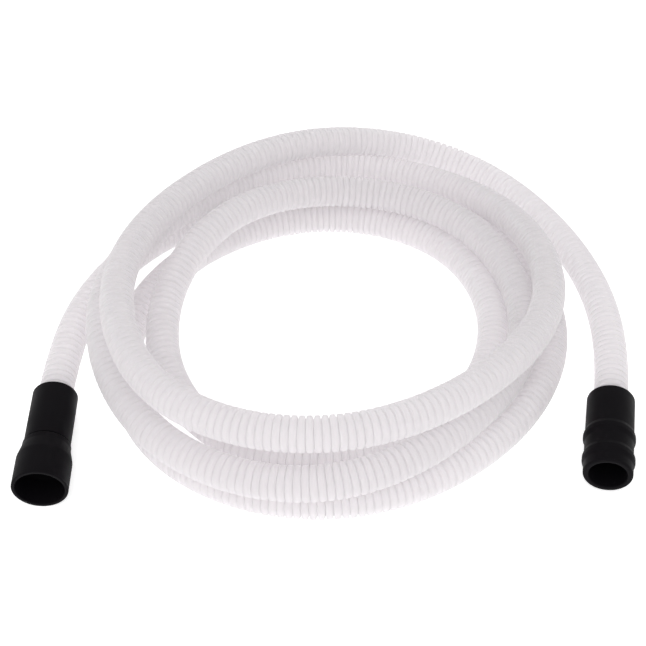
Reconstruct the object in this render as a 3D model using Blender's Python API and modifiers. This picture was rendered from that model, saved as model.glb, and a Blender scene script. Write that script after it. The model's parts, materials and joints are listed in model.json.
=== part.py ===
"""Drain hose: one coiled length of corrugated hose with a moulded rubber cuff on each end.

The hose lies in four and a half turns, with both ends running out of the coil on the same side.
Each end is pushed into its cuff as far as a stop inside it. The bell cuff widens to go over a
large pipe, and the ribbed cuff has two raised rings that a hose clamp sits between.

Everything is in metres with +Z up, and rests on z = 0. The origin is on that surface under the
middle of the two cuffs. X runs from the bell cuff to the ribbed cuff, and Y towards the coil.
"""

import math

import bpy
import numpy as np
from mathutils import Euler, Vector

# Hose
HOSE_OD = 0.021
TUBE_ROUNDING = 4  # bevel_resolution, which makes a tube of 12 sides
FIT_GAP = 0.0003  # between pieces that touch

# Coil, as the ring that its turns fill
COIL_INNER_RADIUS = 0.092
COIL_LANES = 3.0  # hoses side by side, as a width
COIL_LAYERS = 3.3  # hoses on top of each other, as a height
COIL_TOP_SLOPE = 0.012  # how far each side leans in from the floor to the top

# Hose socket and stop, the same in both cuffs
HOSE_SEAT_DEPTH = 0.026
STOP_HEIGHT = 0.0018
END_ROUND = 0.0012
LIP_ROUND = 0.0006

# Bell cuff
BELL_BORE = 0.0284
BELL_BORE_DEPTH = 0.0195
BELL_WALL = 0.0021
BELL_FLARE_LENGTH = 0.012
BELL_THROAT_LENGTH = 0.014
BELL_SLEEVE_WALL = 0.0029
BELL_COLLAR_STEP = 0.0006  # where the bell part starts, proud of the sleeve

# Ribbed cuff
RIBBED_BORE = 0.0222
RIBBED_BORE_DEPTH = 0.025
RIBBED_WALL = 0.0033
RIBBED_THROAT_LENGTH = 0.008
RIBBED_SLEEVE_WALL = 0.0036
RING_HEIGHT = 0.001
RING_WIDTH = 0.0085
RING_SLOPE = 0.0028
RING_FROM_MOUTH = 0.011
RING_SPACING = 0.0165

# Where each cuff's sleeve ends, and how far its mouth turns inwards
BELL_BESIDE_COIL = 0.0151  # from the coil's outside to the cuff's axis
BELL_BEFORE_CENTRE = 0.0601  # from the coil's centre towards the front
BELL_TOE_IN = math.radians(1.6)
RIBBED_BESIDE_COIL = 0.0148
RIBBED_BEFORE_CENTRE = 0.0631
RIBBED_TOE_IN = math.radians(-11.3)

# The hose between each sleeve and the coil, from the coil's centre
LEFT_ROUTE = (
    (-0.1693, -0.0315, 0.0170),
    (-0.1657, 0.0000, 0.0179),
    (-0.1045, 0.1045, 0.0116),
    (0.0000, 0.1344, 0.0105),
)
RIGHT_ROUTE = (
    (0.1752, 0.0458, 0.0113),
    (0.0937, 0.1678, 0.0193),
    (0.0000, 0.1667, 0.0399),
    (-0.0961, 0.0961, 0.0525),
)
ROUTE_STEP = 0.4 * HOSE_OD
POINTS_PER_TUBE_POINT = 5

TURNED_STEPS = 36
ARC_STEPS = 2

# Sizes that follow from the ones above
SEAT_RADIUS = HOSE_OD / 2 + FIT_GAP
BELL_SLEEVE_RADIUS = SEAT_RADIUS + BELL_SLEEVE_WALL
BELL_RADIUS = BELL_BORE / 2 + BELL_WALL
BELL_LENGTH = HOSE_SEAT_DEPTH + BELL_THROAT_LENGTH + BELL_FLARE_LENGTH + BELL_BORE_DEPTH
RIBBED_SLEEVE_RADIUS = SEAT_RADIUS + RIBBED_SLEEVE_WALL
RIBBED_RADIUS = RIBBED_BORE / 2 + RIBBED_WALL
RIBBED_LENGTH = HOSE_SEAT_DEPTH + RIBBED_THROAT_LENGTH + RIBBED_BORE_DEPTH
COIL_OUTER_RADIUS = COIL_INNER_RADIUS + COIL_LANES * HOSE_OD
COIL_HEIGHT = COIL_LAYERS * HOSE_OD
BELL_PLACE = (-COIL_OUTER_RADIUS - BELL_BESIDE_COIL, -BELL_BEFORE_CENTRE)
RIBBED_PLACE = (COIL_OUTER_RADIUS + RIBBED_BESIDE_COIL, -RIBBED_BEFORE_CENTRE)


def clear_scene():
    """Remove every object that the file opened with."""
    for obj in list(bpy.data.objects):
        bpy.data.objects.remove(obj, do_unlink=True)


def make_material(name, colour, roughness):
    """Return a plain Principled material."""
    material = bpy.data.materials.new(name)
    material.use_nodes = True
    shader = material.node_tree.nodes["Principled BSDF"]
    shader.inputs["Base Color"].default_value = (*colour, 1.0)
    shader.inputs["Roughness"].default_value = roughness
    shader.inputs["Metallic"].default_value = 0.0
    return material


def add_object(name, data, material, collection):
    """Put new mesh or curve data in the scene as an object with one material."""
    data.materials.append(material)
    obj = bpy.data.objects.new(name, data)
    collection.objects.link(obj)
    return obj


def rounded_outline(corners):
    """Turn (radius, height, fillet) corners of a closed outline into points, with an arc at each fillet."""
    outline = []
    for index, (radius, height, fillet) in enumerate(corners):
        corner = Vector((radius, height))
        if fillet == 0:
            outline.append(corner)
            continue
        before = (Vector(corners[index - 1][:2]) - corner).normalized()
        after = (Vector(corners[(index + 1) % len(corners)][:2]) - corner).normalized()
        half_angle = before.angle(after) / 2
        reach = fillet / math.tan(half_angle)
        centre = corner + (before + after).normalized() * fillet / math.sin(half_angle)
        first = corner + before * reach - centre
        last = corner + after * reach - centre
        for step in range(ARC_STEPS + 1):
            outline.append(centre + first.lerp(last, step / ARC_STEPS).normalized() * fillet)
    return outline


def turned(name, corners, material, collection):
    """Turn a closed outline about the object's own Z axis."""
    outline = rounded_outline(corners)
    points = [(point.x, 0.0, point.y) for point in outline]
    edges = [(index, (index + 1) % len(points)) for index in range(len(points))]
    mesh = bpy.data.meshes.new(name)
    mesh.from_pydata(points, edges, [])
    obj = add_object(name, mesh, material, collection)
    screw = obj.modifiers.new("turn", "SCREW")
    screw.axis = "Z"
    screw.angle = math.tau
    screw.steps = TURNED_STEPS
    screw.render_steps = TURNED_STEPS
    screw.use_merge_vertices = True
    screw.merge_threshold = 0.00001
    return obj


def stop_radius(bore):
    """Return the radius inside the stop, which is narrower than the hose's seat and the bore."""
    return min(SEAT_RADIUS, bore / 2) - STOP_HEIGHT


def bell_corners():
    """Outline of the bell cuff: sleeve end at z = 0 and mouth below it."""
    throat = stop_radius(BELL_BORE)
    mouth = -BELL_LENGTH
    flare_bottom = mouth + BELL_BORE_DEPTH
    flare_top = flare_bottom + BELL_FLARE_LENGTH
    return [
        (BELL_SLEEVE_RADIUS, 0.0, END_ROUND),
        (BELL_SLEEVE_RADIUS, flare_top, 0.0),
        (BELL_SLEEVE_RADIUS + BELL_COLLAR_STEP, flare_top, 0.0),
        (BELL_RADIUS, flare_bottom, 0.0),
        (BELL_RADIUS, mouth, LIP_ROUND),
        (BELL_BORE / 2, mouth, 0.0),
        (BELL_BORE / 2, flare_bottom - BELL_WALL, 0.0),
        (throat, flare_top - BELL_WALL, 0.0),
        (throat, -HOSE_SEAT_DEPTH, 0.0),
        (SEAT_RADIUS, -HOSE_SEAT_DEPTH, 0.0),
        (SEAT_RADIUS, 0.0, 0.0),
    ]


def ring_corners(centre, radius_above, radius_below):
    """Outline of one raised ring, from its upper foot to its lower foot."""
    crest = max(radius_above, radius_below) + RING_HEIGHT
    half = RING_WIDTH / 2
    return [
        (radius_above, centre + half, 0.0),
        (crest, centre + half - RING_SLOPE, 0.0),
        (crest, centre - half + RING_SLOPE, 0.0),
        (radius_below, centre - half, 0.0),
    ]


def ribbed_corners():
    """Outline of the ribbed cuff: sleeve end at z = 0 and mouth below it."""
    throat = stop_radius(RIBBED_BORE)
    mouth = -RIBBED_LENGTH
    lower_ring = mouth + RING_FROM_MOUTH
    upper_ring = lower_ring + RING_SPACING
    return [
        (RIBBED_SLEEVE_RADIUS, 0.0, END_ROUND),
        *ring_corners(upper_ring, RIBBED_SLEEVE_RADIUS, RIBBED_RADIUS),
        *ring_corners(lower_ring, RIBBED_RADIUS, RIBBED_RADIUS),
        (RIBBED_RADIUS, mouth, LIP_ROUND),
        (RIBBED_BORE / 2, mouth, 0.0),
        (RIBBED_BORE / 2, mouth + RIBBED_BORE_DEPTH, 0.0),
        (throat, mouth + RIBBED_BORE_DEPTH, 0.0),
        (throat, -HOSE_SEAT_DEPTH, 0.0),
        (SEAT_RADIUS, -HOSE_SEAT_DEPTH, 0.0),
        (SEAT_RADIUS, 0.0, 0.0),
    ]


def coil_corners():
    """Outline of the ring that the coiled turns fill, narrower at the top."""
    round_edge = HOSE_OD / 2
    return [
        (COIL_OUTER_RADIUS - COIL_TOP_SLOPE, COIL_HEIGHT, round_edge),
        (COIL_OUTER_RADIUS, 0.0, round_edge),
        (COIL_INNER_RADIUS, 0.0, round_edge),
        (COIL_INNER_RADIUS + COIL_TOP_SLOPE, COIL_HEIGHT, round_edge),
    ]


def sleeve_direction(toe_in):
    """Return the level direction from a cuff's mouth to its sleeve."""
    return Vector((-math.sin(toe_in), math.cos(toe_in), 0.0))


def cuff_extent(place, toe_in, corners):
    """Return the lowest and highest X and Y that a cuff reaches, measured from the coil's centre."""
    along = sleeve_direction(toe_in)
    centres = [Vector((*place, 0.0)) + along * height for _, height, _ in corners]
    radii = [radius for radius, _, _ in corners]
    spread_x = [radius * abs(along.y) for radius in radii]
    spread_y = [radius * abs(along.x) for radius in radii]
    low = Vector((
        min(centre.x - spread for centre, spread in zip(centres, spread_x)),
        min(centre.y - spread for centre, spread in zip(centres, spread_y)),
    ))
    high = Vector((
        max(centre.x + spread for centre, spread in zip(centres, spread_x)),
        max(centre.y + spread for centre, spread in zip(centres, spread_y)),
    ))
    return low, high


def coil_centre():
    """Return where the coil's centre goes, so that the origin is under the middle of the cuffs."""
    low_bell, high_bell = cuff_extent(BELL_PLACE, BELL_TOE_IN, bell_corners())
    low_ribbed, high_ribbed = cuff_extent(RIBBED_PLACE, RIBBED_TOE_IN, ribbed_corners())
    low = (min(low_bell.x, low_ribbed.x), min(low_bell.y, low_ribbed.y))
    high = (max(high_bell.x, high_ribbed.x), max(high_bell.y, high_ribbed.y))
    return Vector((-(low[0] + high[0]) / 2, -(low[1] + high[1]) / 2, 0.0))


def smooth_curve(points, start_direction):
    """Read evenly spaced points from a cubic spline that leaves its first point in a set direction.

    The spline's second derivatives come from one linear system. The last end is free.
    """
    points = np.array(points, dtype=float)
    spans = np.linalg.norm(np.diff(points, axis=0), axis=1)
    slopes = np.diff(points, axis=0) / spans[:, None]
    count = len(points)
    system = np.zeros((count, count))
    known = np.zeros((count, 3))
    system[0, :2] = (2 * spans[0], spans[0])
    known[0] = 6 * (slopes[0] - np.array(start_direction))
    for row in range(1, count - 1):
        system[row, row - 1 : row + 2] = (spans[row - 1], 2 * (spans[row - 1] + spans[row]), spans[row])
        known[row] = 6 * (slopes[row] - slopes[row - 1])
    system[-1, -1] = 1.0
    bends = np.linalg.solve(system, known)
    curve = []
    for index, span in enumerate(spans):
        steps = max(1, round(span / ROUTE_STEP))
        for along in np.arange(steps) / steps * span:
            left = span - along
            curve.append(
                (bends[index] * left**3 + bends[index + 1] * along**3) / (6 * span)
                + (points[index] / span - bends[index] * span / 6) * left
                + (points[index + 1] / span - bends[index + 1] * span / 6) * along
            )
    curve.append(points[-1])
    return [Vector(point) for point in curve]


def lead_points(place, axis_height, toe_in, route):
    """Return a lead's centre line from its seat in the cuff to where it meets the coil's ring."""
    along = sleeve_direction(toe_in)
    sleeve_end = Vector((*place, axis_height))
    hose_end = sleeve_end - along * (HOSE_SEAT_DEPTH - FIT_GAP)
    nearest = COIL_OUTER_RADIUS + HOSE_OD / 2 + FIT_GAP
    free = []
    for point in smooth_curve([sleeve_end, *route], along):
        if math.hypot(point.x, point.y) < nearest:
            break
        free.append(point)
    kept = free[:-1:POINTS_PER_TUBE_POINT]
    return [hose_end, *kept, free[-1]]


def make_tube(name, points, centre, material, collection):
    """Make a plain closed tube of the hose's diameter along a centre line."""
    curve = bpy.data.curves.new(name, "CURVE")
    curve.dimensions = "3D"
    curve.bevel_depth = HOSE_OD / 2
    curve.bevel_resolution = TUBE_ROUNDING
    curve.use_fill_caps = True
    spline = curve.splines.new("POLY")
    spline.points.add(len(points) - 1)
    for spline_point, point in zip(spline.points, points):
        spline_point.co = (*point, 1.0)
    tube = add_object(name, curve, material, collection)
    tube.location = centre
    return tube


def make_cuff(name, corners, place, toe_in, centre, material, collection):
    """Make one cuff, lying on the floor on its widest ring."""
    cuff = turned(name, corners, material, collection)
    axis_height = max(radius for radius, _, _ in corners)
    cuff.location = centre + Vector((*place, axis_height))
    cuff.rotation_euler = Euler((-math.pi / 2, 0.0, toe_in))
    return axis_height


def build():
    """Build the whole hose."""
    clear_scene()
    parts = bpy.data.collections.new("drain_hose")
    bpy.context.scene.collection.children.link(parts)
    centre = coil_centre()

    coil_plastic = make_material("coil_plastic", (0.74, 0.74, 0.76), 0.45)
    coil = turned("hose_coil", coil_corners(), coil_plastic, parts)
    coil.location = centre

    bell_rubber = make_material("bell_rubber", (0.018, 0.018, 0.02), 0.6)
    bell_height = make_cuff("bell_cuff", bell_corners(), BELL_PLACE, BELL_TOE_IN, centre, bell_rubber, parts)
    ribbed_rubber = make_material("ribbed_rubber", (0.018, 0.018, 0.02), 0.6)
    ribbed_height = make_cuff(
        "ribbed_cuff", ribbed_corners(), RIBBED_PLACE, RIBBED_TOE_IN, centre, ribbed_rubber, parts
    )

    left_plastic = make_material("left_lead_plastic", (0.74, 0.74, 0.76), 0.45)
    left_points = lead_points(BELL_PLACE, bell_height, BELL_TOE_IN, LEFT_ROUTE)
    make_tube("hose_left_lead", left_points, centre, left_plastic, parts)
    right_plastic = make_material("right_lead_plastic", (0.74, 0.74, 0.76), 0.45)
    right_points = lead_points(RIBBED_PLACE, ribbed_height, RIBBED_TOE_IN, RIGHT_ROUTE)
    make_tube("hose_right_lead", right_points, centre, right_plastic, parts)


build()
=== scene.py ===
"""Looks of a coiled drain hose: one corrugated plastic hose and the two rubber cuffs on its ends.

Everything is in metres and in the frame of the CAD model. The hose lies on z = 0, +X runs from the
bell cuff to the ribbed cuff, and +Y from the cuffs to the coil.
"""

import json
import logging
import math
from dataclasses import dataclass, field
from enum import Enum

import bmesh
import bpy
import numpy as np
from mathutils import Matrix, Vector


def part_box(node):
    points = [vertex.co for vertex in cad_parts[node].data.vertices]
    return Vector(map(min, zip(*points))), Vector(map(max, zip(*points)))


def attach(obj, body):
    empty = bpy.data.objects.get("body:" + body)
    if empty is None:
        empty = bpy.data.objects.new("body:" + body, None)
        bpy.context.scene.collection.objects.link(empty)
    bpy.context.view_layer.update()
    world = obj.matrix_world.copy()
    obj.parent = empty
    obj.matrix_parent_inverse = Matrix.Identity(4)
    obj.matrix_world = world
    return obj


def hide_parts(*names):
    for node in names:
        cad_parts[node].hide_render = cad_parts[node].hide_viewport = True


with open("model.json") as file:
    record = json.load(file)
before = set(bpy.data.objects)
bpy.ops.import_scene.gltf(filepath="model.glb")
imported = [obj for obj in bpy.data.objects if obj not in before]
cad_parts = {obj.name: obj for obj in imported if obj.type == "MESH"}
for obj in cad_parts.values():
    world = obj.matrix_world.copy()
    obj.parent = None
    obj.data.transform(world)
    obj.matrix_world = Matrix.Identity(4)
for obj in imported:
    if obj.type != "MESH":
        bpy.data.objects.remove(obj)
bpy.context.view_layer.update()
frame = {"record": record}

LOG = logging.getLogger("drain_hose")
ROOT_BODY = "root"
STATIONS_PER_TURN = 8
NOISE_DARK = 0.3
NOISE_BRIGHT = 0.7


class Stiffness(Enum):
    """How readily a cord bends."""

    LIMP = "limp"
    MEDIUM = "medium"
    STIFF = "stiff"


class Lay(Enum):
    """How a cord lies."""

    LOOSE = "loose"
    COILED = "coiled"


class FarEnd(Enum):
    """What the far end of a cord goes into."""

    BARE = "bare"
    OBJECT = "object"


# ---------------------------------------------------------------------------------------------
# Finishes


@dataclass(frozen=True)
class HosePlastic:
    """Milky thin-walled plastic that lets most of the light through."""

    name: str = "hose_plastic"
    colour: tuple[float, float, float] = (0.95, 0.932, 0.943)
    cool_colour: tuple[float, float, float] = (0.945, 0.937, 0.948)
    passed_colour: tuple[float, float, float] = (0.99, 0.98, 0.985)
    clear_colour: tuple[float, float, float] = (1.0, 0.99, 0.995)
    roughness: float = 0.42
    roughness_less: float = 0.05
    roughness_more: float = 0.08
    passed_share: float = 0.68
    clear_share: float = 0.22
    ior: float = 1.5
    cloud_scale: float = 14.0
    gloss_scale: float = 220.0
    grain_scale: float = 900.0
    grain_strength: float = 0.12
    grain_depth: float = 0.0002

    def build(self) -> bpy.types.Material:
        """Make the material: a matt surface, mixed with light that comes through the thin wall.

        Returns:
            The material, which reads Object coordinates.
        """
        material, nodes, links, shader = new_material(self.name)
        shader.inputs["IOR"].default_value = self.ior
        place = nodes.new("ShaderNodeTexCoord")
        cloud = add_noise(nodes, links, place.outputs["Object"], self.cloud_scale, detail=3.0)
        tint = nodes.new("ShaderNodeMix")
        tint.data_type = "RGBA"
        tint.inputs["A"].default_value = (*self.colour, 1.0)
        tint.inputs["B"].default_value = (*self.cool_colour, 1.0)
        links.new(cloud, tint.inputs["Factor"])
        links.new(tint.outputs["Result"], shader.inputs["Base Color"])

        gloss = add_noise(nodes, links, place.outputs["Object"], self.gloss_scale, detail=2.0)
        smoothest = self.roughness - self.roughness_less
        roughest = self.roughness + self.roughness_more
        links.new(add_range(nodes, links, gloss, smoothest, roughest), shader.inputs["Roughness"])

        grain = add_noise(nodes, links, place.outputs["Object"], self.grain_scale, detail=4.0)
        add_grain(nodes, links, grain, shader, self.grain_strength, self.grain_depth)

        passed = nodes.new("ShaderNodeBsdfTranslucent")
        passed.inputs["Color"].default_value = (*self.passed_colour, 1.0)
        clear = nodes.new("ShaderNodeBsdfTransparent")
        clear.inputs["Color"].default_value = (*self.clear_colour, 1.0)
        milky = add_mix(nodes, links, shader.outputs["BSDF"], passed.outputs["BSDF"], self.passed_share)
        whole = add_mix(nodes, links, milky, clear.outputs["BSDF"], self.clear_share)
        links.new(whole, nodes["Material Output"].inputs["Surface"])
        return material


@dataclass(frozen=True)
class MouldedRubber:
    """Matte black rubber straight from the mould, with a fine grain and a faint grey bloom."""

    name: str
    colour: tuple[float, float, float] = (0.0034, 0.0029, 0.0041)
    bloom: tuple[float, float, float] = (0.0058, 0.0050, 0.0062)
    roughness: float = 0.55
    roughness_less: float = 0.06
    roughness_more: float = 0.1
    shine: float = 0.06
    cloud_scale: float = 60.0
    grain_scale: float = 1500.0
    grain_strength: float = 0.25
    grain_depth: float = 0.0002

    def build(self) -> bpy.types.Material:
        """Make the material.

        Returns:
            The material, which reads Object coordinates.
        """
        material, nodes, links, shader = new_material(self.name)
        shader.inputs["Specular IOR Level"].default_value = self.shine
        place = nodes.new("ShaderNodeTexCoord")
        cloud = add_noise(nodes, links, place.outputs["Object"], self.cloud_scale, detail=5.0)
        tint = nodes.new("ShaderNodeMix")
        tint.data_type = "RGBA"
        tint.inputs["A"].default_value = (*self.colour, 1.0)
        tint.inputs["B"].default_value = (*self.bloom, 1.0)
        links.new(cloud, tint.inputs["Factor"])
        links.new(tint.outputs["Result"], shader.inputs["Base Color"])

        smoothest = self.roughness - self.roughness_less
        roughest = self.roughness + self.roughness_more
        links.new(add_range(nodes, links, cloud, smoothest, roughest), shader.inputs["Roughness"])
        grain = add_noise(nodes, links, place.outputs["Object"], self.grain_scale, detail=3.0)
        add_grain(nodes, links, grain, shader, self.grain_strength, self.grain_depth)
        return material


def new_material(
    name: str,
) -> tuple[bpy.types.Material, bpy.types.Nodes, bpy.types.NodeLinks, bpy.types.Node]:
    """Start a node material.

    Args:
        name: The material's name.

    Returns:
        The material, its nodes, its links and its Principled shader.
    """
    material = bpy.data.materials.new(name)
    material.use_nodes = True
    tree = material.node_tree
    return material, tree.nodes, tree.links, tree.nodes["Principled BSDF"]


def add_noise(
    nodes: bpy.types.Nodes,
    links: bpy.types.NodeLinks,
    vector: bpy.types.NodeSocket,
    scale: float,
    detail: float,
) -> bpy.types.NodeSocket:
    """Add a noise texture.

    Args:
        nodes: The tree's nodes.
        links: The tree's links.
        vector: The coordinates that it reads.
        scale: Its cells per metre.
        detail: How many finer layers it has.

    Returns:
        The noise's factor, from 0 to 1.
    """
    noise = nodes.new("ShaderNodeTexNoise")
    noise.inputs["Scale"].default_value = scale
    noise.inputs["Detail"].default_value = detail
    links.new(vector, noise.inputs["Vector"])
    return noise.outputs["Fac"]


def add_range(
    nodes: bpy.types.Nodes,
    links: bpy.types.NodeLinks,
    value: bpy.types.NodeSocket,
    low: float,
    high: float,
) -> bpy.types.NodeSocket:
    """Spread a noise's middle part over a range.

    Args:
        nodes: The tree's nodes.
        links: The tree's links.
        value: The value that is spread.
        low: What it becomes at its darkest.
        high: What it becomes at its brightest.

    Returns:
        The value in its new range.
    """
    spread = nodes.new("ShaderNodeMapRange")
    spread.inputs["From Min"].default_value = NOISE_DARK
    spread.inputs["From Max"].default_value = NOISE_BRIGHT
    spread.inputs["To Min"].default_value = low
    spread.inputs["To Max"].default_value = high
    links.new(value, spread.inputs["Value"])
    return spread.outputs["Result"]


def add_grain(
    nodes: bpy.types.Nodes,
    links: bpy.types.NodeLinks,
    height: bpy.types.NodeSocket,
    shader: bpy.types.Node,
    strength: float,
    depth: float,
) -> None:
    """Roughen a shader's surface with a fine bump.

    Args:
        nodes: The tree's nodes.
        links: The tree's links.
        height: The bump's height.
        shader: The shader that gets it.
        strength: How strong it is, from 0 to 1.
        depth: How deep it is, in metres.
    """
    bump = nodes.new("ShaderNodeBump")
    bump.inputs["Strength"].default_value = strength
    bump.inputs["Distance"].default_value = depth
    links.new(height, bump.inputs["Height"])
    links.new(bump.outputs["Normal"], shader.inputs["Normal"])


def add_mix(
    nodes: bpy.types.Nodes,
    links: bpy.types.NodeLinks,
    first: bpy.types.NodeSocket,
    second: bpy.types.NodeSocket,
    share: float,
) -> bpy.types.NodeSocket:
    """Mix two shaders.

    Args:
        nodes: The tree's nodes.
        links: The tree's links.
        first: The first shader.
        second: The second shader.
        share: How much of the mix is the second one.

    Returns:
        The mixed shader.
    """
    mix = nodes.new("ShaderNodeMixShader")
    mix.inputs["Fac"].default_value = share
    links.new(first, mix.inputs[1])
    links.new(second, mix.inputs[2])
    return mix.outputs["Shader"]


def add_piece(name: str, shape: bmesh.types.BMesh, material: bpy.types.Material) -> bpy.types.Object:
    """Make a finished piece that rides on the model's one body.

    Args:
        name: The piece's name.
        shape: Its mesh, already in its place.
        material: Its finish.

    Returns:
        The new object, at the origin.
    """
    mesh = bpy.data.meshes.new(name)
    shape.to_mesh(mesh)
    shape.free()
    mesh.materials.append(material)
    piece = bpy.data.objects.new(name, mesh)
    bpy.context.scene.collection.objects.link(piece)
    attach(piece, ROOT_BODY)
    return piece


# ---------------------------------------------------------------------------------------------
# Cuffs


@dataclass(frozen=True)
class Corner:
    """A corner of a turned outline."""

    radius: float
    along: float
    fillet: float = 0.0


def rounded_outline(corners: list[Corner], arc_steps: int = 5) -> list[Vector]:
    """Round the corners of a closed outline.

    Args:
        corners: The outline's corners, in order.
        arc_steps: The pieces that each fillet is made of.

    Returns:
        Points with the distance along the axis as x and the radius as z.
    """
    points = []
    for index, corner in enumerate(corners):
        here = Vector((corner.along, 0.0, corner.radius))
        if corner.fillet == 0:
            points.append(here)
            continue
        last_corner = corners[index - 1]
        next_corner = corners[(index + 1) % len(corners)]
        back = (Vector((last_corner.along, 0.0, last_corner.radius)) - here).normalized()
        ahead = (Vector((next_corner.along, 0.0, next_corner.radius)) - here).normalized()
        half_angle = back.angle(ahead) / 2
        reach = corner.fillet / math.tan(half_angle)
        centre = here + (back + ahead).normalized() * corner.fillet / math.sin(half_angle)
        first = here + back * reach - centre
        last = here + ahead * reach - centre
        for step in range(arc_steps + 1):
            points.append(centre + first.lerp(last, step / arc_steps).normalized() * corner.fillet)
    return points


@dataclass
class CuffPlace:
    """Where a cuff lies: the middle of its mouth and the way that it faces."""

    mouth: Vector
    facing: Vector

    @classmethod
    def from_frame(cls, mount_name: str, node: str) -> "CuffPlace":
        """Read a cuff's place from the frame.

        Args:
            mount_name: The record's mount on the cuff's mouth.
            node: The cuff's CAD node.

        Returns:
            The cuff's place.
        """
        mounts = {mount["name"]: mount for mount in frame["record"]["mounts"]}
        mount = mounts[mount_name]
        low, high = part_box(node)
        height = (low[2] + high[2]) / 2
        return cls(Vector((*mount["pos_m"][:2], height)), Vector(mount["axis"]).normalized())

    def matrix(self) -> Matrix:
        """Return the matrix that lays a cuff turned about X, with its mouth at x = 0, in its place."""
        across = self.facing.cross(Vector((0.0, 0.0, 1.0)))
        turn = Matrix((-self.facing, -across, (0.0, 0.0, 1.0))).transposed()
        return Matrix.Translation(self.mouth) @ turn.to_4x4()

    def inwards(self, distance: float) -> Vector:
        """Return the point on the axis that far behind the mouth."""
        return self.mouth - self.facing * distance


@dataclass
class MouldedCuff:
    """What both cuffs share: a hose socket, a stop and a mouth, turned about one axis."""

    name: str
    node: str
    mount: str
    finish: MouldedRubber
    hose_diameter: float
    fit_gap: float = 0.0003
    seat_depth: float = 0.026
    stop_height: float = 0.0018
    turned_steps: int = 96
    sharp_angle: float = math.radians(50)
    place: CuffPlace = field(init=False)

    def __post_init__(self) -> None:
        """Find the cuff's place in the frame."""
        self.place = CuffPlace.from_frame(self.mount, self.node)

    @property
    def seat_radius(self) -> float:
        """Radius of the socket that the hose sits in."""
        return self.hose_diameter / 2 + self.fit_gap

    @property
    def length(self) -> float:
        """Length from the sleeve's end to the mouth."""
        raise NotImplementedError

    def corners(self) -> list[Corner]:
        """Return the outline's corners, with the mouth at 0."""
        raise NotImplementedError

    def sleeve_end(self) -> Vector:
        """Return the middle of the end that the hose goes in at."""
        return self.place.inwards(self.length)

    def hose_end(self) -> Vector:
        """Return where the hose ends, against the stop."""
        return self.place.inwards(self.length - self.seat_depth + self.fit_gap)

    def build(self) -> bpy.types.Object:
        """Turn the outline, lay the cuff in its place and dress it.

        Returns:
            The finished cuff.
        """
        shape = bmesh.new()
        points = [shape.verts.new(point) for point in rounded_outline(self.corners())]
        edges = [shape.edges.new(pair) for pair in zip(points, points[1:] + points[:1])]
        bmesh.ops.spin(
            shape,
            geom=points + edges,
            cent=(0.0, 0.0, 0.0),
            axis=(1.0, 0.0, 0.0),
            angle=math.tau,
            steps=self.turned_steps,
            use_merge=True,
        )
        bmesh.ops.remove_doubles(shape, verts=shape.verts, dist=0.000001)
        bmesh.ops.recalc_face_normals(shape, faces=shape.faces)
        bmesh.ops.transform(shape, matrix=self.place.matrix(), verts=shape.verts)
        for face in shape.faces:
            face.smooth = True
        piece = add_piece(self.name, shape, self.finish.build())
        piece.data.set_sharp_from_angle(angle=self.sharp_angle)
        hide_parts(self.node)
        return piece


@dataclass
class BellCuff(MouldedCuff):
    """The cuff whose mouth widens to go over a large pipe."""

    bore: float = 0.0284
    wall: float = 0.0021
    sleeve_wall: float = 0.0029
    throat_length: float = 0.014
    flare_length: float = 0.012
    bore_depth: float = 0.0195
    collar_step: float = 0.0006
    groove_depth: float = 0.0013
    groove_start: float = 0.0002
    groove_end: float = 0.0008
    groove_lip: float = 0.0010

    @property
    def length(self) -> float:
        """Length from the sleeve's end to the mouth."""
        return self.seat_depth + self.throat_length + self.flare_length + self.bore_depth

    def corners(self) -> list[Corner]:
        """Return the outline's corners, with the mouth at 0."""
        length = self.length
        sleeve = self.seat_radius + self.sleeve_wall
        bell = self.bore / 2 + self.wall
        flare_end = self.bore_depth
        flare_start = self.bore_depth + self.flare_length
        stop = length - self.seat_depth
        throat = self.seat_radius - self.stop_height
        groove = sleeve - self.groove_depth
        return [
            Corner(sleeve, length, 0.0012),
            Corner(sleeve, flare_start + self.groove_lip, 0.0002),
            Corner(groove, flare_start + self.groove_end),
            Corner(groove, flare_start + self.groove_start),
            Corner(sleeve + self.collar_step, flare_start - 0.0001, 0.0004),
            Corner(sleeve + self.collar_step, flare_start - 0.0030, 0.004),
            Corner(bell, flare_end + 0.0006, 0.009),
            Corner(bell, 0.0, 0.0007),
            Corner(self.bore / 2, 0.0, 0.0006),
            Corner(self.bore / 2, flare_end - self.wall, 0.004),
            Corner(throat, flare_start - self.wall, 0.003),
            Corner(throat, stop, 0.0004),
            Corner(self.seat_radius, stop, 0.0),
            Corner(self.seat_radius, length, 0.0003),
        ]


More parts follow.
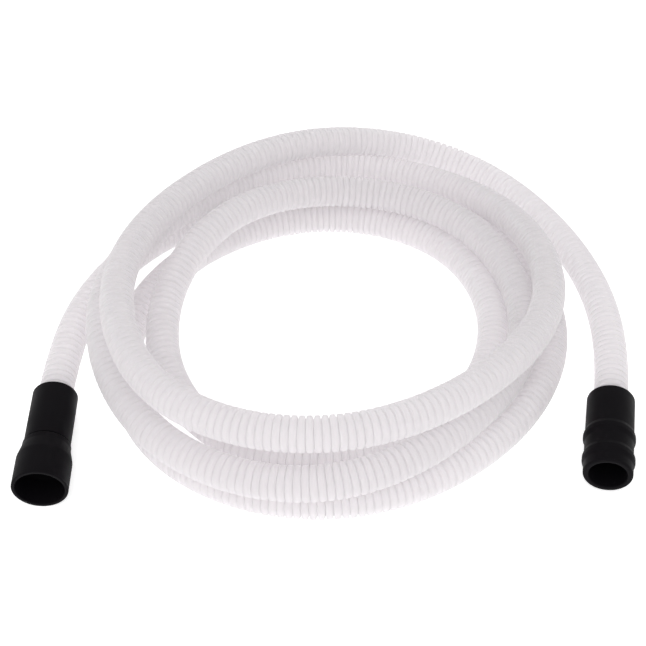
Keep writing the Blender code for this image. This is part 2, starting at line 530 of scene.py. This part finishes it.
@dataclass
class RibbedCuff(MouldedCuff):
    """The straight cuff with two raised rings near its mouth."""

    bore: float = 0.0222
    wall: float = 0.0033
    throat_length: float = 0.008
    bore_depth: float = 0.025
    ring_height: float = 0.001
    ring_width: float = 0.0085
    ring_slope: float = 0.0028
    ring_from_mouth: float = 0.011
    ring_spacing: float = 0.0165

    @property
    def length(self) -> float:
        """Length from the sleeve's end to the mouth."""
        return self.seat_depth + self.throat_length + self.bore_depth

    def ring(self, centre: float, radius: float) -> list[Corner]:
        """Return one raised ring's corners.

        Args:
            centre: The ring's distance from the mouth.
            radius: The cuff's radius beside it.

        Returns:
            Four corners, from the sleeve's side to the mouth's.
        """
        half = self.ring_width / 2
        crest = radius + self.ring_height
        return [
            Corner(radius, centre + half, 0.002),
            Corner(crest, centre + half - self.ring_slope, 0.003),
            Corner(crest, centre - half + self.ring_slope, 0.003),
            Corner(radius, centre - half, 0.002),
        ]

    def corners(self) -> list[Corner]:
        """Return the outline's corners, with the mouth at 0."""
        length = self.length
        outer = self.bore / 2 + self.wall
        stop = length - self.seat_depth
        throat = self.seat_radius - self.stop_height
        return [
            Corner(outer, length, 0.0014),
            *self.ring(self.ring_from_mouth + self.ring_spacing, outer),
            *self.ring(self.ring_from_mouth, outer),
            Corner(outer, 0.0, 0.0016),
            Corner(self.bore / 2, 0.0, 0.0010),
            Corner(self.bore / 2, self.bore_depth, 0.0005),
            Corner(throat, self.bore_depth, 0.0005),
            Corner(throat, stop, 0.0004),
            Corner(self.seat_radius, stop, 0.0),
            Corner(self.seat_radius, length, 0.0003),
        ]


# ---------------------------------------------------------------------------------------------
# Hose


@dataclass(frozen=True)
class Turn:
    """One turn of the coil, clockwise from above, starting on the bell cuff's side.

    Lanes say how many hose widths the turn lies outside the coil's middle circle, and layers how
    many hose widths its middle is above the floor. Both are given every eighth of a turn.
    """

    lanes: tuple[float, ...]
    layers: tuple[float, ...]


@dataclass
class HoseRoute:
    """The line that the hose follows from one cuff's stop to the other's."""

    bell: MouldedCuff
    ribbed: MouldedCuff
    hose_diameter: float
    middle_radius: float = 0.131
    left_points: tuple[tuple[float, float, float], ...] = ((-0.1693, -0.0315, 0.0170),)
    right_points: tuple[tuple[float, float, float], ...] = (
        (0.0937, 0.1678, 0.0193),
        (0.1752, 0.0458, 0.0113),
    )
    turns: tuple[Turn, ...] = (
        Turn(
            (1.65, 0.80, 0.16, 0.68, 0.50, 0.14, 0.25, 0.46),
            (0.85, 0.55, 0.50, 0.50, 0.65, 0.70, 0.55, 0.50),
        ),
        Turn(
            (0.05, -0.55, -0.80, -0.85, -1.25, -1.45, -1.15, -0.82),
            (0.50, 0.50, 0.55, 0.55, 0.55, 0.50, 0.60, 0.90),
        ),
        Turn(
            (-1.10, -1.25, -0.80, -0.35, -0.40, -0.42, 0.35, 0.72),
            (1.35, 2.00, 1.70, 1.45, 1.25, 1.65, 1.55, 1.50),
        ),
        Turn(
            (0.62, 0.50, 1.50, 1.30, 0.25, -0.50, -0.24, 0.22),
            (1.90, 1.60, 0.95, 1.20, 2.05, 2.70, 2.85, 2.75),
        ),
        Turn((0.12, 0.23, 1.70), (2.75, 2.5, 1.9)),
    )
    sample_step: float = 0.002
    socket_steps: int = 12

    def turn_points(self) -> list[Vector]:
        """Work out the coil's points from its turns.

        Returns:
            The points, an eighth of a turn apart, measured from the coil's centre.
        """
        points = []
        for turn in self.turns:
            for station, (lane, layer) in enumerate(zip(turn.lanes, turn.layers)):
                angle = station * math.tau / STATIONS_PER_TURN
                radius = self.middle_radius + lane * self.hose_diameter
                height = layer * self.hose_diameter
                points.append(Vector((-radius * math.cos(angle), radius * math.sin(angle), height)))
        return points

    def knots(self) -> list[Vector]:
        """Return every point that the free hose passes through, between the two sleeves."""
        low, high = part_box("hose_coil")
        centre = Vector(((low[0] + high[0]) / 2, (low[1] + high[1]) / 2, 0.0))
        free = [Vector(point) for point in self.left_points]
        free += self.turn_points()
        free += [Vector(point) for point in self.right_points]
        return [self.bell.sleeve_end(), *(centre + point for point in free), self.ribbed.sleeve_end()]

    def centre_line(self) -> np.ndarray:
        """Read the route closely, with the straight ends that sit in the cuffs.

        Returns:
            One row for each point.
        """
        curve = clamped_spline(
            np.array(self.knots()),
            -np.array(self.bell.place.facing),
            np.array(self.ribbed.place.facing),
            self.sample_step,
        )
        steps = self.socket_steps
        start = np.linspace(self.bell.hose_end(), self.bell.sleeve_end(), steps, endpoint=False)
        end = np.linspace(self.ribbed.sleeve_end(), self.ribbed.hose_end(), steps + 1)[1:]
        return np.vstack([start, curve, end])


def clamped_spline(points: np.ndarray, start: np.ndarray, end: np.ndarray, step: float) -> np.ndarray:
    """Draw a smooth curve through points.

    Args:
        points: The points, one in each row.
        start: The direction in which it leaves the first point.
        end: The direction in which it reaches the last point.
        step: The distance between the points that are read from it.

    Returns:
        The curve's points, one in each row.
    """
    gaps = np.diff(points, axis=0)
    spans = np.linalg.norm(gaps, axis=1)
    slopes = gaps / spans[:, None]
    count = len(points)
    system = np.zeros((count, count))
    known = np.zeros((count, 3))
    system[0, :2] = (2 * spans[0], spans[0])
    known[0] = 6 * (slopes[0] - start)
    system[-1, -2:] = (spans[-1], 2 * spans[-1])
    known[-1] = 6 * (end - slopes[-1])
    for row in range(1, count - 1):
        system[row, row - 1 : row + 2] = (spans[row - 1], 2 * (spans[row - 1] + spans[row]), spans[row])
        known[row] = 6 * (slopes[row] - slopes[row - 1])
    bends = np.linalg.solve(system, known)
    curve = []
    for index, span in enumerate(spans):
        steps = max(1, round(span / step))
        along = (np.arange(steps) / steps * span)[:, None]
        left = span - along
        curve.append(
            (bends[index] * left**3 + bends[index + 1] * along**3) / (6 * span)
            + (points[index] / span - bends[index] * span / 6) * left
            + (points[index + 1] / span - bends[index + 1] * span / 6) * along
        )
    curve.append(points[-1:])
    return np.vstack(curve)


@dataclass
class Guide:
    """A centre line with the distance along it and two directions across it, which never twist."""

    points: np.ndarray
    distance: np.ndarray = field(init=False)
    side: np.ndarray = field(init=False)
    lift: np.ndarray = field(init=False)

    def __post_init__(self) -> None:
        """Measure the line and carry one side direction along it."""
        steps = np.linalg.norm(np.diff(self.points, axis=0), axis=1)
        self.distance = np.concatenate([[0.0], np.cumsum(steps)])
        tangent = np.gradient(self.points, self.distance, axis=0)
        tangent /= np.linalg.norm(tangent, axis=1, keepdims=True)
        side = np.empty_like(tangent)
        side[0] = np.cross(tangent[0], (0.0, 0.0, 1.0))
        for index in range(1, len(tangent)):
            carried = side[index - 1] - tangent[index] * (side[index - 1] @ tangent[index])
            side[index] = carried
        self.side = side / np.linalg.norm(side, axis=1, keepdims=True)
        self.lift = np.cross(self.side, tangent)

    @property
    def length(self) -> float:
        """Length of the line."""
        return float(self.distance[-1])

    def bend(self, straight: np.ndarray) -> np.ndarray:
        """Lay the points of a straight tube along the line.

        Args:
            straight: Points of a tube along Z, one in each row.

        Returns:
            The same points along the line.
        """
        along = straight[:, 2]
        read = [
            np.stack([np.interp(along, self.distance, part[:, axis]) for axis in range(3)], axis=1)
            for part in (self.points, self.side, self.lift)
        ]
        middle, side, lift = read
        return middle + straight[:, :1] * side + straight[:, 1:2] * lift


@dataclass
class CorrugatedHose:
    """The hose: a thin wall with raised rings outside and a plain bore inside."""

    route: HoseRoute
    finish: HosePlastic
    diameter: float = 0.021
    rib_pitch: float = 0.0044
    rib_height: float = 0.0024
    groove_width: float = 0.0018
    shoulder_drop: float = 0.0006
    shoulder_width: float = 0.0004
    bore: float = 0.0145
    sides: int = 20
    ribs_per_bore_step: int = 4
    weld_distance: float = 0.00002
    path_stride: int = 3

    def sweep(self, stations: list[tuple[float, float]], name: str) -> bpy.types.Object:
        """Make one short length of straight tube along Z.

        Args:
            stations: The radius and distance of each ring of points.
            name: The object's name.

        Returns:
            A working object that holds the open tube.
        """
        shape = bmesh.new()
        radius = stations[0][0]
        bmesh.ops.create_circle(shape, cap_ends=False, segments=self.sides, radius=radius)
        edges = list(shape.edges)
        height = stations[0][1]
        for next_radius, next_height in stations[1:]:
            grown = bmesh.ops.extrude_edge_only(shape, edges=edges)["geom"]
            ring = [part for part in grown if isinstance(part, bmesh.types.BMVert)]
            on_ring = set(ring)
            edges = [
                part for part in grown if isinstance(part, bmesh.types.BMEdge) and set(part.verts) <= on_ring
            ]
            factor = next_radius / radius
            bmesh.ops.scale(shape, vec=(factor, factor, 1.0), verts=ring)
            bmesh.ops.translate(shape, vec=(0.0, 0.0, next_height - height), verts=ring)
            radius = next_radius
            height = next_height
        mesh = bpy.data.meshes.new(name)
        shape.to_mesh(mesh)
        shape.free()
        tube = bpy.data.objects.new(name, mesh)
        bpy.context.scene.collection.objects.link(tube)
        return tube

    def repeat(self, tube: bpy.types.Object, step: float, count: int) -> bpy.types.Mesh:
        """Repeat a length of tube along Z and weld the copies.

        Args:
            tube: The working object, which is removed.
            step: The distance between copies.
            count: How many there are.

        Returns:
            The mesh of the whole tube.
        """
        array = tube.modifiers.new("repeat", "ARRAY")
        array.count = count
        array.use_relative_offset = False
        array.use_constant_offset = True
        array.constant_offset_displace = (0.0, 0.0, step)
        array.use_merge_vertices = True
        array.merge_threshold = self.weld_distance
        graph = bpy.context.evaluated_depsgraph_get()
        mesh = bpy.data.meshes.new_from_object(tube.evaluated_get(graph))
        bpy.data.objects.remove(tube, do_unlink=True)
        return mesh

    def straight_tube(self, ribs: int, pitch: float) -> bmesh.types.BMesh:
        """Make the whole hose, straight, along Z.

        Args:
            ribs: How many raised rings it has.
            pitch: The distance between them.

        Returns:
            A closed shape: the ribbed outside, the bore and a flat ring at each end.
        """
        crest = self.diameter / 2
        groove = crest - self.rib_height
        shoulder = crest - self.shoulder_drop
        rise = self.groove_width / 2
        rib = [
            (groove, 0.0),
            (shoulder, rise - self.shoulder_width),
            (crest, rise),
            (crest, pitch - rise),
            (shoulder, pitch - rise + self.shoulder_width),
            (groove, pitch),
        ]
        outside = self.repeat(self.sweep(rib, "rib"), pitch, ribs)
        bore_steps = ribs // self.ribs_per_bore_step
        bore_step = ribs * pitch / bore_steps
        plain = [(self.bore / 2, 0.0), (self.bore / 2, bore_step)]
        inside = self.repeat(self.sweep(plain, "bore"), bore_step, bore_steps)

        shape = bmesh.new()
        shape.from_mesh(outside)
        shape.from_mesh(inside)
        bpy.data.meshes.remove(outside)
        bpy.data.meshes.remove(inside)
        open_edges = [edge for edge in shape.edges if edge.is_boundary]
        for at_start in (True, False):
            middle = ribs * pitch / 2
            loop = [edge for edge in open_edges if (edge.verts[0].co.z < middle) is at_start]
            bmesh.ops.bridge_loops(shape, edges=loop)
        bmesh.ops.recalc_face_normals(shape, faces=shape.faces)
        return shape

    def build(self) -> bpy.types.Object:
        """Returns:
            The finished hose.
        """
        guide = Guide(self.route.centre_line())
        ribs = round(guide.length / self.rib_pitch)
        ribs -= ribs % self.ribs_per_bore_step
        shape = self.straight_tube(ribs, guide.length / ribs)
        for face in shape.faces:
            face.smooth = True
        hose = add_piece("corrugated_hose", shape, self.finish.build())
        straight = np.empty(len(hose.data.vertices) * 3)
        hose.data.vertices.foreach_get("co", straight)
        bent = guide.bend(straight.reshape(-1, 3))
        hose.data.vertices.foreach_set("co", bent.ravel())
        hose.data.update()
        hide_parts("hose_coil", "hose_left_lead", "hose_right_lead")
        self.route.bell.sleeve_end()
        LOG.info("hose: %.3f m long with %d ribs", guide.length, ribs)
        return hose


# ---------------------------------------------------------------------------------------------
# Studio


@dataclass
class Studio:
    """The camera, the lights and the floor."""

    camera_from_coil: tuple[float, float, float] = (-0.0063, -0.5490, 0.5697)
    camera_tilt: float = math.radians(44.91)
    lens: float = 67.04
    sensor: float = 36.0
    floor_size: float = 30.0
    floor_grey: float = 0.9
    floor_roughness: float = 0.9
    floor_glow: float = 0.6
    key_place: tuple[float, float, float] = (-0.3, -0.9, 1.5)
    key_faces: tuple[float, float, float] = (-0.3, -1.0, 1.5)
    key_size: float = 1.6
    key_strength: float = 9.0
    sky_strength: float = 0.74

    def build(self) -> None:
        """Make everything in the studio."""
        self.make_camera()
        self.make_floor()
        self.make_lights()

    def make_camera(self) -> None:
        """Set up the camera, looking over the cuffs at the coil."""
        low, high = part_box("hose_coil")
        centre = Vector(((low[0] + high[0]) / 2, (low[1] + high[1]) / 2, 0.0))
        data = bpy.data.cameras.new("camera")
        data.lens = self.lens
        data.sensor_width = self.sensor
        camera = bpy.data.objects.new("camera", data)
        camera.location = centre + Vector(self.camera_from_coil)
        camera.rotation_euler = (self.camera_tilt, 0.0, 0.0)
        bpy.context.scene.collection.objects.link(camera)
        bpy.context.scene.camera = camera

    def make_floor(self) -> None:
        """Lay a plain white floor."""
        shape = bmesh.new()
        bmesh.ops.create_grid(shape, x_segments=1, y_segments=1, size=self.floor_size / 2)
        mesh = bpy.data.meshes.new("floor")
        shape.to_mesh(mesh)
        shape.free()
        material, _, _, shader = new_material("floor_paper")
        shader.inputs["Base Color"].default_value = (*[self.floor_grey] * 3, 1.0)
        shader.inputs["Roughness"].default_value = self.floor_roughness
        shader.inputs["Specular IOR Level"].default_value = 0.0
        shader.inputs["Emission Color"].default_value = (1.0, 1.0, 1.0, 1.0)
        shader.inputs["Emission Strength"].default_value = self.floor_glow
        mesh.materials.append(material)
        floor = bpy.data.objects.new("floor", mesh)
        bpy.context.scene.collection.objects.link(floor)

    def make_lights(self) -> None:
        """Hang one large soft light above the cuffs' side and light the room evenly."""
        data = bpy.data.lights.new("key", "AREA")
        data.shape = "SQUARE"
        data.size = self.key_size
        data.energy = self.key_strength
        key = bpy.data.objects.new("key", data)
        key.location = self.key_place
        key.rotation_euler = Vector(self.key_faces).to_track_quat("Z", "Y").to_euler()
        bpy.context.scene.collection.objects.link(key)
        world = bpy.data.worlds.new("room")
        world.use_nodes = True
        background = world.node_tree.nodes["Background"]
        background.inputs["Color"].default_value = (1.0, 1.0, 1.0, 1.0)
        background.inputs["Strength"].default_value = self.sky_strength
        bpy.context.scene.world = world
        bpy.context.scene.view_settings.view_transform = "Standard"


def main() -> None:
    """Build the studio, the cuffs and the hose."""
    logging.basicConfig(level=logging.INFO, format="%(name)s: %(message)s")
    Studio().build()
    diameter = CorrugatedHose.diameter
    bell = BellCuff(
        "bell_cuff_rubber", "bell_cuff", "bell_mouth_face", MouldedRubber("bell_rubber"), diameter
    )
    ribbed = RibbedCuff(
        "ribbed_cuff_rubber", "ribbed_cuff", "ribbed_mouth_face", MouldedRubber("ribbed_rubber"), diameter
    )
    for cuff in (bell, ribbed):
        cuff.build()
        LOG.info("%s: %.1f mm long", cuff.name, cuff.length * 1000)
    CorrugatedHose(HoseRoute(bell, ribbed, diameter), HosePlastic()).build()


if __name__ == "__main__":
    main()
